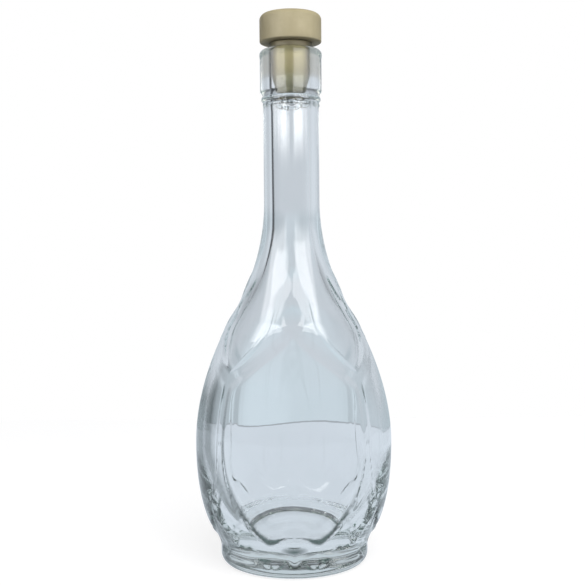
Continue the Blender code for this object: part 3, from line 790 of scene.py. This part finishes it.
class NodeTree:
    """Adds nodes to a tree. An input is named or numbered, and is a value or another node's socket."""

    def __init__(self, tree):
        self.tree = tree

    def set_inputs(self, node, inputs):
        for name, value in inputs.items():
            if isinstance(value, bpy.types.NodeSocket):
                self.tree.links.new(value, node.inputs[name])
            else:
                node.inputs[name].default_value = value

    def add(self, kind, inputs=None, **settings):
        node = self.tree.nodes.new(kind)
        for name, value in settings.items():
            setattr(node, name, value)
        self.set_inputs(node, inputs or {})
        return node

    def math(self, operation, *values):
        return self.add("ShaderNodeMath", dict(enumerate(values)), operation=operation).outputs["Value"]

    def span(self, value, low, high, given=(0.0, 1.0), **settings):
        """The value, moved from the given span to the one from low to high and kept within it."""
        inputs = {"Value": value, "From Min": given[0], "From Max": given[1], "To Min": low, "To Max": high}
        return self.add("ShaderNodeMapRange", inputs, **settings).outputs["Result"]

    def blend(self, mask, first, second):
        """The first colour where the mask is 0, and the second where it is 1."""
        inputs = {"Factor": mask}
        for socket, value in ((MIX_FIRST, first), (MIX_SECOND, second)):
            inputs[socket] = value if isinstance(value, bpy.types.NodeSocket) else (*value, 1.0)
        return self.add("ShaderNodeMix", inputs, data_type="RGBA").outputs[MIX_RESULT]

    def mix_shaders(self, share, first, second):
        return self.add("ShaderNodeMixShader", {0: share, 1: first, 2: second}).outputs["Shader"]

    def place(self, kind="Object"):
        return self.add("ShaderNodeTexCoord").outputs[kind]

    def axes(self, kind="Object"):
        """A place as its X, Y and Z."""
        return self.add("ShaderNodeSeparateXYZ", {"Vector": self.place(kind)}).outputs

    def speckle(self, stretch, fineness, start, full):
        """Noise as a mask from 0 to 1, from the node group that all finishes share."""
        place = self.add("ShaderNodeMapping", {"Vector": self.place(), "Scale": stretch}).outputs["Vector"]
        inputs = {"Vector": place, "Scale": fineness, "Low": start, "High": full}
        return self.add("ShaderNodeGroup", inputs, node_tree=speckle_group()).outputs["Mask"]

    def bump(self, height, strength, depth, **below):
        inputs = {"Strength": strength, "Distance": depth, "Height": height, **below}
        return self.add("ShaderNodeBump", inputs).outputs["Normal"]

    def facing(self):
        """0 where a surface faces the viewer, rising to 1 at its rim."""
        return self.add("ShaderNodeLayerWeight", {"Blend": 0.5}).outputs["Facing"]

    def seen_ray(self, *names):
        """1 for the kinds of ray that are named, otherwise 0."""
        path = self.add("ShaderNodeLightPath").outputs
        seen = path[names[0]]
        for name in names[1:]:
            seen = self.math("MAXIMUM", seen, path[name])
        return seen


def new_material(name, shown):
    """A material, the helper of its tree and its Principled shader."""
    made = bpy.data.materials.new(name)
    made.use_nodes = True
    made.diffuse_color = (*shown, 1.0)
    return made, NodeTree(made.node_tree), made.node_tree.nodes["Principled BSDF"]


def clear_nodes(owner):
    """Empties the tree of a material or a world, and gives its helper."""
    owner.use_nodes = True
    owner.node_tree.nodes.clear()
    return NodeTree(owner.node_tree)


def speckle_group():
    """Node group shared by all finishes: noise of one size as a mask from 0 to 1."""
    name = "Speckle"
    if name in bpy.data.node_groups:
        return bpy.data.node_groups[name]
    group = bpy.data.node_groups.new(name, "ShaderNodeTree")
    group.interface.new_socket(name="Vector", in_out="INPUT", socket_type="NodeSocketVector")
    for socket in ("Scale", "Low", "High"):
        group.interface.new_socket(name=socket, in_out="INPUT", socket_type="NodeSocketFloat")
    group.interface.new_socket(name="Mask", in_out="OUTPUT", socket_type="NodeSocketFloat")
    nodes = NodeTree(group)
    given = nodes.add("NodeGroupInput").outputs
    inputs = {"Vector": given["Vector"], "Scale": given["Scale"], **NOISE}
    noise = nodes.add("ShaderNodeTexNoise", inputs).outputs["Fac"]
    mask = nodes.span(noise, 0.0, 1.0, (given["Low"], given["High"]), interpolation_type="SMOOTHSTEP")
    nodes.add("NodeGroupOutput", {"Mask": mask})
    return group


def scaled(tone, share):
    return tuple(share * part for part in tone)


def glass_material(settings):
    """Clear pressed glass: faint ripples, a few seeds, a grey-green tint in the thick parts, and painted shade
    at the relief's seams and at the rims.
    """
    made, nodes, shader = new_material("pressed_glass", settings.tint)
    axes = nodes.axes()
    haze = nodes.speckle(*GLASS_HAZE)
    # Painted shade: the seams, from the tone attribute, and the rims darken the glass's colour
    seams = nodes.add("ShaderNodeAttribute", attribute_name="tone").outputs["Fac"]
    seat_foot = GLASS_HIGH.z - SEAT_LENGTH
    at_seat = nodes.span(axes["Z"], 0.0, 1.0, (seat_foot - SEAT_BLEND / 2, seat_foot + SEAT_BLEND / 2))
    tone = nodes.blend(haze, WHITE, HAZE_COLOUR)
    tone = nodes.blend(seams, tone, SEAM_SHADE_COLOUR)
    tone = nodes.blend(painted_rim_shade(nodes, axes), tone, SEAM_SHADE_COLOUR)
    tone = nodes.blend(at_seat, tone, SEAT_COLOUR)

    level = nodes.add("ShaderNodeCombineXYZ", {"X": axes["X"], "Y": axes["Y"]}).outputs["Vector"]
    radius = nodes.add("ShaderNodeVectorMath", {0: level}, operation="LENGTH").outputs["Value"]
    in_bore = nodes.span(radius, 1.0, 0.0, tuple(settings.bore_radius + margin for margin in BORE_MARGINS))
    ground = nodes.span(axes["Z"], 0.0, SEAT_ROUGHNESS, (seat_foot - SEAT_EDGE, seat_foot))
    seat = nodes.math("MULTIPLY", in_bore, ground)
    rippled = nodes.bump(nodes.speckle(*GLASS_RIPPLES), *RIPPLE_BUMP)
    nodes.set_inputs(shader, {
        "Transmission Weight": 1.0,
        "IOR": GLASS_IOR,
        "Metallic": 0.0,
        "Base Color": tone,
        "Roughness": nodes.math("ADD", nodes.span(haze, *GLASS_ROUGHNESS), seat),
        "Normal": nodes.bump(nodes.speckle(*GLASS_SEEDS), *SEED_BUMP, Normal=rippled),
    })
    depth = {"Color": (*settings.tint, 1.0), "Density": settings.absorption}
    absorb = nodes.add("ShaderNodeVolumeAbsorption", depth).outputs["Volume"]
    nodes.set_inputs(made.node_tree.nodes["Material Output"], {"Volume": absorb})
    return made


def painted_rim_shade(nodes, axes):
    """Painted shade where the glass is seen edge-on at the left and, more faintly, at the right."""
    inner, outer = RIM_SIDES
    left = nodes.span(axes["X"], LEFT_RIM_SHADE, 0.0, (-outer, -inner))
    left = nodes.math("MULTIPLY", left, fade_above(nodes, axes, LEFT_RIM_TOP))
    right = nodes.span(axes["X"], 0.0, RIGHT_RIM_SHADE, (inner, outer))
    over_foot = nodes.span(axes["Z"], 0.0, 1.0, (RIGHT_RIM_FOOT, RIGHT_RIM_FOOT + RIM_FADE))
    right = nodes.math("MULTIPLY", right, over_foot)
    right = nodes.math("MULTIPLY", right, fade_above(nodes, axes, RIGHT_RIM_TOP))
    at_edge = nodes.span(nodes.facing(), 0.0, 1.0, RIM_FACING)
    return nodes.math("MULTIPLY", nodes.math("ADD", left, right), at_edge)


def fade_above(nodes, axes, height):
    return nodes.span(axes["Z"], 1.0, 0.0, (height, height + RIM_FADE))


def wood_material(settings):
    """Pale turned wood: long grain across the head, fine pores, turning marks and painted shade on its
    underside.
    """
    made, nodes, shader = new_material("turned_wood", settings.wood_light)
    cloud, grain, pores = (nodes.speckle(*speckle) for speckle in (WOOD_CLOUD, WOOD_GRAIN, WOOD_PORES))
    tone = settings.wood_light
    for mask, share in zip((cloud, grain, pores), WOOD_SHARES):
        tone = nodes.blend(nodes.span(mask, 0.0, share), tone, settings.wood_dark)
    # Painted shade on the head's underside
    under = nodes.span(nodes.axes()["Z"], UNDERSIDE_SHADE_SHARE, 0.0, (HEAD_LOW.z, HEAD_LOW.z + HEAD_BOTTOM_ROUND))
    inputs = {"Vector": nodes.place(), **TURNING_MARKS}
    marks = nodes.add("ShaderNodeTexWave", inputs, wave_type="BANDS", bands_direction="Z").outputs["Fac"]
    turned = nodes.bump(marks, MARK_STRENGTH, settings.groove_depth)
    nodes.set_inputs(shader, {
        "Base Color": nodes.blend(under, tone, scaled(settings.wood_dark, UNDERSIDE_SHADE_TONE)),
        "Roughness": nodes.span(grain, *WOOD_ROUGHNESS),
        "Normal": nodes.bump(pores, *PORE_BUMP, Normal=turned),
    })
    return made


def cork_material(settings):
    """Moulded synthetic cork: satin, with soft clouds, fine speckles and painted shade low on the shank, at
    the collar and at its edges.
    """
    made, nodes, shader = new_material("synthetic_cork", settings.cork_light)
    cloud, speckles = nodes.speckle(*CORK_CLOUD), nodes.speckle(*CORK_SPECKLES)
    tone = settings.cork_light
    for mask, share in zip((cloud, speckles), CORK_SHARES):
        tone = nodes.blend(nodes.span(mask, 0.0, share), tone, settings.cork_dark)
    height = nodes.axes()["Z"]
    # Painted shade, darker towards the shank's lower end
    lower_shade = nodes.span(height, LOWER_SHADE_SHARE, 0.0, (SHANK_LOW.z, SHANK_LOW.z + LOWER_SHADE_LENGTH))
    tone = nodes.blend(lower_shade, tone, scaled(settings.cork_dark, LOWER_SHADE_TONE))
    # Painted shade on the collar under the head
    collar_shade = nodes.span(height, 0.0, 1.0, (GLASS_HIGH.z, GLASS_HIGH.z + CLEARANCE))
    tone = nodes.blend(collar_shade, tone, COLLAR_SHADE_COLOUR)
    # Painted shade at the shank's edges, where it turns away
    edge = nodes.span(nodes.facing(), 0.0, EDGE_SHADE_SHARE, EDGE_SHADE_FACING)
    nodes.set_inputs(shader, {
        "Base Color": nodes.blend(edge, tone, scaled(settings.cork_dark, EDGE_SHADE_TONE)),
        "Roughness": nodes.span(speckles, *CORK_ROUGHNESS),
        "Normal": nodes.bump(speckles, *CORK_BUMP),
    })
    return made


def glue_material(settings):
    """Hot-melt glue: glossy and cloudy, with small bubbles."""
    made, nodes, shader = new_material("melted_glue", settings.glue)
    cloud = nodes.speckle(*GLUE_CLOUD)
    nodes.set_inputs(shader, {
        "Base Color": nodes.blend(cloud, settings.glue, scaled(settings.glue, GLUE_CLOUD_TONE)),
        "Roughness": nodes.span(cloud, *GLUE_ROUGHNESS),
        "Normal": nodes.bump(nodes.speckle(*GLUE_BUBBLES), *BUBBLE_BUMP),
    })
    return made


def finish_piece(piece, material, body, node):
    """Gives a piece its material, shades it smooth, parents it to the body that it moves with and hides the
    part that it stands for.
    """
    piece.data.materials.clear()
    piece.data.materials.append(material)
    bpy.context.view_layer.objects.active = piece
    piece.select_set(True)
    bpy.ops.object.shade_smooth_by_angle(angle=SMOOTH_ANGLE)
    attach(piece, body)
    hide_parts(node)


class BOTTLE_OT_make_glass(bpy.types.Operator):
    """Draw the profile of the glass, turn it and press the relief into it."""

    bl_idname = "bottle.make_glass"
    bl_label = "Make Glass"

    def execute(self, context):
        glass = context.scene.bottle_glass
        curve = outer_curve(glass)
        heights = mix(glass.neck_height, FOOT_HEIGHT, 1 - spans(BODY_ROW_SPAN_SHARES))[1:-1][::-1]
        body = np.column_stack((np.interp(heights, curve[:, 1], curve[:, 0]), heights))
        inside, outside = hollow(glass), finish_outside(glass)
        band = np.array([(glass.foot_radius, FOOT_HEIGHT)])
        profile = np.vstack((inside, outside, body, band, underside(glass)))
        piece = draw_profile("glass_body", profile)
        turn_profile(piece, COLUMNS)
        first = len(inside) + len(outside)
        press(piece, glass, profile, (first, first + len(body)), len(inside))
        finish_piece(piece, glass_material(glass), "bottle_body", "bottle")
        return {"FINISHED"}


class BOTTLE_OT_make_head(bpy.types.Operator):
    """Turn the wooden head of the stopper, with the blind socket for the tenon."""

    bl_idname = "bottle.make_head"
    bl_label = "Make Head"

    def execute(self, context):
        stopper = context.scene.bottle_stopper
        radius, top, foot = stopper.head_radius, HEAD_HIGH.z, HEAD_LOW.z
        bpy.ops.object.select_all(action="DESELECT")
        bpy.ops.mesh.primitive_cylinder_add(
            vertices=STOPPER_SIDES, radius=radius, depth=top - foot, location=(0.0, 0.0, (top + foot) / 2),
            end_fill_type="NGON",
        )
        piece = settle("wooden_head")
        round_rim(piece, top, HEAD_TOP_ROUND)
        round_rim(piece, foot, HEAD_BOTTOM_ROUND)
        sink_socket(piece, radius - HEAD_BOTTOM_ROUND)
        finish_piece(piece, wood_material(stopper), "stopper", "stopper_head")
        return {"FINISHED"}


def select_flat(piece, kind, height):
    """Opens the piece for editing, with the edges or the faces selected that lie flat at this height."""
    enter_edit("DESELECT", kind)
    leave_edit()
    mesh = piece.data
    for part in mesh.edges if kind == "EDGE" else mesh.polygons:
        part.select = all(abs(mesh.vertices[index].co.z - height) < MERGE_DISTANCE for index in part.vertices)
    bpy.ops.object.mode_set(mode="EDIT")


def round_rim(piece, height, radius):
    """Bevels the edges that lie flat at this height."""
    select_flat(piece, "EDGE", height)
    bpy.ops.mesh.bevel(offset=radius, offset_type="OFFSET", segments=ROUND_STEPS, profile=0.5)
    leave_edit()


def sink_socket(piece, flat_radius):
    """Insets the underside of the head and pushes it up into a blind socket."""
    select_flat(piece, "FACE", HEAD_LOW.z)
    bpy.ops.mesh.inset(thickness=flat_radius - (TENON_RADIUS + CLEARANCE))
    rise = (0.0, 0.0, GLUE_HIGH.z + CLEARANCE - HEAD_LOW.z)
    bpy.ops.mesh.extrude_region_move(TRANSFORM_OT_translate={"value": rise})
    leave_edit()


class BOTTLE_OT_make_shank(bpy.types.Operator):
    """Turn the shank of the stopper with its collar and tenon."""

    bl_idname = "bottle.make_shank"
    bl_label = "Make Shank"

    def execute(self, context):
        stopper = context.scene.bottle_stopper
        shank = stopper.shank_radius
        straight_end, end = GLASS_HIGH.z - SHANK_STRAIGHT, SHANK_LOW.z
        collar_foot = GLASS_HIGH.z + CLEARANCE
        collar_top = collar_foot + COLLAR_HEIGHT
        upper_bulge, side_bulge, lower_bulge = SHANK_BULGE_SHARES
        taper = bezier(
            (shank, straight_end),
            (shank, mix(straight_end, end, upper_bulge)),
            (shank - SHANK_TAPER * side_bulge, mix(straight_end, end, lower_bulge)),
            (shank - SHANK_TAPER, end),
            INSIDE_STEPS,
        )
        collar = shank + COLLAR_OVERHANG
        edge = COLLAR_ROUND / 2
        profile = np.vstack((
            [(0.0, SHANK_HIGH.z), (TENON_RADIUS, SHANK_HIGH.z), (TENON_RADIUS, collar_top)],
            arc((collar - edge, collar_top - edge), edge, 90, 0, FEW_STEPS),
            arc((collar - COLLAR_ROUND, collar_foot + COLLAR_ROUND), COLLAR_ROUND, 0, -90, ROUND_STEPS),
            [(shank, collar_foot)],
            taper,
            [(shank - SHANK_TAPER - edge, end), (0.0, end)],
        ))
        piece = draw_profile("cork_shank", profile)
        turn_profile(piece, STOPPER_SIDES)
        finish_piece(piece, cork_material(stopper), "stopper", "stopper_shank")
        return {"FINISHED"}


class BOTTLE_OT_finish_glue(bpy.types.Operator):
    """Give the glue pad inside the head its finish."""

    bl_idname = "bottle.finish_glue"
    bl_label = "Finish Glue"

    def execute(self, context):
        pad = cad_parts["glue_pad"]
        pad.data.materials.clear()
        pad.data.materials.append(glue_material(context.scene.bottle_stopper))
        return {"FINISHED"}


def direction(azimuth, elevation):
    """Unit vector from the bottle, in degrees: azimuth 0 is -Y, 90 is +X."""
    turn, rise = math.radians(azimuth), math.radians(elevation)
    return Vector((math.sin(turn) * math.cos(rise), -math.cos(turn) * math.cos(rise), math.sin(rise)))


def show_in_reflections(piece):
    """Hides a piece of the stage from the camera and keeps its light and shadow off matte surfaces."""
    piece.visible_camera = False
    piece.visible_diffuse = False
    piece.visible_shadow = False


def window_material(strength):
    """A glow that dies away softly towards the panel's edges."""
    made = bpy.data.materials.new("window_glow")
    nodes = clear_nodes(made)
    place = nodes.axes("UV")
    mask = None
    for axis in ("X", "Y"):
        for span in ((0.0, WINDOW_EDGE_SHARE), (1.0, 1.0 - WINDOW_EDGE_SHARE)):
            edge = nodes.span(place[axis], 0.0, 1.0, span, interpolation_type="SMOOTHSTEP")
            mask = edge if mask is None else nodes.math("MULTIPLY", mask, edge)
    clear = nodes.add("ShaderNodeBsdfTransparent").outputs["BSDF"]
    glow = nodes.add("ShaderNodeEmission", {"Color": (*WHITE, 1.0), "Strength": strength}).outputs["Emission"]
    nodes.add("ShaderNodeOutputMaterial", {"Surface": nodes.mix_shaders(mask, clear, glow)})
    return made


def add_window(name, azimuths, strength):
    """A bright upright panel for reflections, from the azimuths that it covers."""
    low, high = WINDOW_HEIGHTS
    way = direction(sum(azimuths) / 2, 0.0)
    width = 2 * WINDOW_DISTANCE * math.tan(math.radians(azimuths[1] - azimuths[0]) / 2)
    place = way * WINDOW_DISTANCE + Vector((0.0, 0.0, (low + high) / 2))
    turn = way.to_track_quat("Z", "Y").to_euler()
    bpy.ops.mesh.primitive_plane_add(size=1.0, location=place, rotation=turn)
    panel = settle(name, (width, high - low, 1.0))
    panel.data.materials.append(window_material(strength))
    show_in_reflections(panel)


def card_material(stage):
    """Plain grey card, as bright as the room in front of the bottle."""
    made = bpy.data.materials.new("grey_card")
    nodes = clear_nodes(made)
    shade_share = next(share for azimuth, share in HIGH_RING if azimuth > 0)
    tone = (*scaled(stage.backdrop_high, shade_share), 1.0)
    glow = nodes.add("ShaderNodeEmission", {"Color": tone, "Strength": 1.0})
    nodes.add("ShaderNodeOutputMaterial", {"Surface": glow.outputs["Emission"]})
    return made


def add_card(stage):
    """A level card in front of the shields, which keeps the panels out of their reflections."""
    inner, outer = CARD_RADII
    start, end = (math.radians(azimuth) for azimuth in CARD_AZIMUTHS)
    way = direction(CARD_AZIMUTHS[0], 0.0)
    middle = Vector((0.0, 0.0, CARD_HEIGHT))
    card = start_vertex("grey_card", way * inner + middle)
    bpy.ops.mesh.extrude_region_move(TRANSFORM_OT_translate={"value": way * (outer - inner)})
    bpy.ops.mesh.select_all(action="SELECT")
    bpy.ops.mesh.spin(steps=CARD_STEPS, angle=start - end, center=middle, axis=(0.0, 0.0, 1.0))
    leave_edit()
    for point in card.data.vertices:
        if point.co.xy.length < inner + MILLIMETRE and point.co.y < -CARD_FRONT:
            point.co.xy *= CARD_FRONT / -point.co.y
    card.data.materials.append(card_material(stage))
    show_in_reflections(card)


def ring(nodes, around, shares):
    """Brightness at each azimuth, from a list of azimuths and shares."""
    ramp = nodes.add("ShaderNodeValToRGB", {"Fac": around})
    stops = ramp.color_ramp.elements
    while len(stops) < len(shares):
        stops.new(len(stops) / len(shares))
    for (azimuth, share), stop in zip(shares, list(stops)):
        stop.position = (azimuth + 180) / 360
        stop.color = (share, share, share, 1.0)
    return ramp.outputs["Color"]


def light_world(stage):
    """White for the camera, the backdrop and the room in glass and gloss, and plain soft light."""
    world = bpy.data.worlds.new("studio")
    bpy.context.scene.world = world
    nodes = clear_nodes(world)
    way = nodes.axes("Generated")
    rise = nodes.math("ARCSINE", way["Z"])
    turn = nodes.math("ARCTAN2", way["X"], nodes.math("MULTIPLY", way["Y"], -1.0))
    around = nodes.span(turn, 0.0, 1.0, (-math.pi, math.pi))
    low = nodes.blend(ring(nodes, around, LOW_RING), BLACK, stage.backdrop_low)
    high = nodes.blend(ring(nodes, around, HIGH_RING), BLACK, stage.backdrop_high)
    backdrop = nodes.blend(nodes.span(rise, 0.0, 1.0, BACKDROP_TURN), low, high)
    room = nodes.blend(nodes.span(rise, 0.0, CEILING_SHADE, CEILING_TURN), backdrop, BLACK)
    background = nodes.blend(nodes.seen_ray("Is Camera Ray"), room, WHITE)
    soft = nodes.add("ShaderNodeBackground", {"Color": (*WHITE, 1.0), "Strength": stage.ambient})
    shown = nodes.add("ShaderNodeBackground", {"Color": background, "Strength": 1.0})
    seen = nodes.seen_ray("Is Camera Ray", "Is Glossy Ray", "Is Transmission Ray")
    light = nodes.mix_shaders(seen, soft.outputs["Background"], shown.outputs["Background"])
    nodes.add("ShaderNodeOutputWorld", {"Surface": light})


def floor_material(stage):
    """Pale matte floor that shows white around the bottle's soft shadow."""
    made, nodes, shader = new_material("pale_floor", stage.floor_colour)
    nodes.set_inputs(shader, {
        "Base Color": (*stage.floor_colour, 1.0),
        "Roughness": FLOOR_ROUGHNESS,
        "Specular IOR Level": 0.0,
    })
    is_camera = nodes.seen_ray("Is Camera Ray")
    behind = nodes.axes()["Y"]
    # What glass and gloss see of the floor has a painted shadow line along its far edge and is darker in front
    # of the bottle
    line_start = stage.floor_behind - FLOOR_LINE_WIDTH
    line_shadow = nodes.span(behind, 0.0, FLOOR_LINE_SHADE, (line_start, line_start + FLOOR_LINE_WIDTH / 4))
    lined = nodes.blend(line_shadow, stage.floor_in_glass, BLACK)
    at_front = nodes.span(behind, FLOOR_FRONT_SHADE, 0.0, FLOOR_FRONT_SPAN)
    in_room = nodes.blend(at_front, lined, FLOOR_FRONT_SHADE_COLOUR)
    tone = nodes.blend(is_camera, in_room, scaled(WHITE, FLOOR_GLOW_STRENGTH))
    glow = nodes.add("ShaderNodeEmission", {"Color": tone, "Strength": 1.0}).outputs["Emission"]
    in_glass = nodes.seen_ray("Is Glossy Ray", "Is Transmission Ray")
    glowing = nodes.math("MAXIMUM", in_glass, nodes.span(is_camera, 0.0, FLOOR_GLOW))
    surface = nodes.mix_shaders(glowing, shader.outputs["BSDF"], glow)
    nodes.set_inputs(made.node_tree.nodes["Material Output"], {"Surface": surface})
    return made


def add_floor(stage):
    """The floor, from before the bottle to its far edge behind it."""
    middle = (0.0, (stage.floor_behind - FLOOR_BEFORE) / 2, 0.0)
    bpy.ops.mesh.primitive_plane_add(size=1.0, location=middle)
    floor = settle("floor", (FLOOR_WIDTH, stage.floor_behind + FLOOR_BEFORE, 1.0))
    floor.data.materials.append(floor_material(stage))


def add_key(stage):
    """The soft lamp overhead, which glass and gloss don't show."""
    way = direction(KEY_AZIMUTH, KEY_ELEVATION)
    bpy.ops.object.light_add(type="AREA", location=Vector((0.0, 0.0, AIM_HEIGHT)) + way * KEY_DISTANCE)
    key = bpy.context.object
    key.name = "soft_key"
    key.rotation_euler = way.to_track_quat("Z", "Y").to_euler()
    key.data.shape = "RECTANGLE"
    key.data.size = KEY_SIZE
    key.data.size_y = KEY_SIZE
    key.data.energy = stage.key_power
    key.visible_camera = False
    key.visible_glossy = False
    key.visible_transmission = False


def add_camera(stage):
    """The camera in front of the bottle."""
    bpy.ops.object.camera_add(location=(0.0, -stage.camera_distance, stage.camera_height))
    camera = bpy.context.object
    camera.name = "camera"
    tilt = Matrix.Rotation(math.pi / 2 - stage.pitch, 3, "X") @ Matrix.Rotation(stage.roll, 3, "Z")
    camera.rotation_euler = tilt.to_euler()
    camera.data.lens = LENS_PER_FRAME * camera.data.sensor_width
    camera.data.clip_start = CLIP_START
    bpy.context.scene.camera = camera


class BOTTLE_OT_set_stage(bpy.types.Operator):
    """Lay the floor and set the lamps, the world and the camera."""

    bl_idname = "bottle.set_stage"
    bl_label = "Set Stage"

    def execute(self, context):
        stage = context.scene.bottle_stage
        bpy.ops.object.select_all(action="DESELECT")
        add_floor(stage)
        for name, azimuths in zip(("left_window", "right_window"), WINDOW_AZIMUTHS):
            add_window(name, azimuths, stage.window_strength)
        add_card(stage)
        add_key(stage)
        light_world(stage)
        add_camera(stage)
        context.scene.view_settings.view_transform = "Standard"
        context.scene.cycles.max_bounces = GLASS_BOUNCES
        context.scene.cycles.glossy_bounces = GLASS_BOUNCES
        context.scene.cycles.transmission_bounces = GLASS_BOUNCES
        return {"FINISHED"}


class BOTTLE_PT_pieces(bpy.types.Panel):
    """The pieces of the bottle and its stage."""

    bl_label = "Glass Bottle"
    bl_idname = "BOTTLE_PT_pieces"
    bl_space_type = "VIEW_3D"
    bl_region_type = "UI"
    bl_category = "Bottle"

    def draw(self, context):
        for group in SETTINGS:
            settings = getattr(context.scene, group)
            column = self.layout.column(align=True)
            for name in type(settings).__annotations__:
                column.prop(settings, name)
        for operator in OPERATORS:
            self.layout.operator(operator.bl_idname)


OPERATORS = (
    BOTTLE_OT_make_glass,
    BOTTLE_OT_make_head,
    BOTTLE_OT_make_shank,
    BOTTLE_OT_finish_glue,
    BOTTLE_OT_set_stage,
)
SETTINGS = {"bottle_glass": GlassSettings, "bottle_stopper": StopperSettings, "bottle_stage": StageSettings}


def register():
    for settings in SETTINGS.values():
        bpy.utils.register_class(settings)
    for name, settings in SETTINGS.items():
        setattr(bpy.types.Scene, name, bpy.props.PointerProperty(type=settings))
    for operator in OPERATORS:
        bpy.utils.register_class(operator)
    bpy.utils.register_class(BOTTLE_PT_pieces)


def unregister():
    bpy.utils.unregister_class(BOTTLE_PT_pieces)
    for operator in reversed(OPERATORS):
        bpy.utils.unregister_class(operator)
    for name, settings in SETTINGS.items():
        delattr(bpy.types.Scene, name)
        bpy.utils.unregister_class(settings)


def main():
    register()
    bpy.ops.bottle.make_glass()
    bpy.ops.bottle.make_head()
    bpy.ops.bottle.make_shank()
    bpy.ops.bottle.finish_glue()
    bpy.ops.bottle.set_stage()


if __name__ == "__main__":
    main()
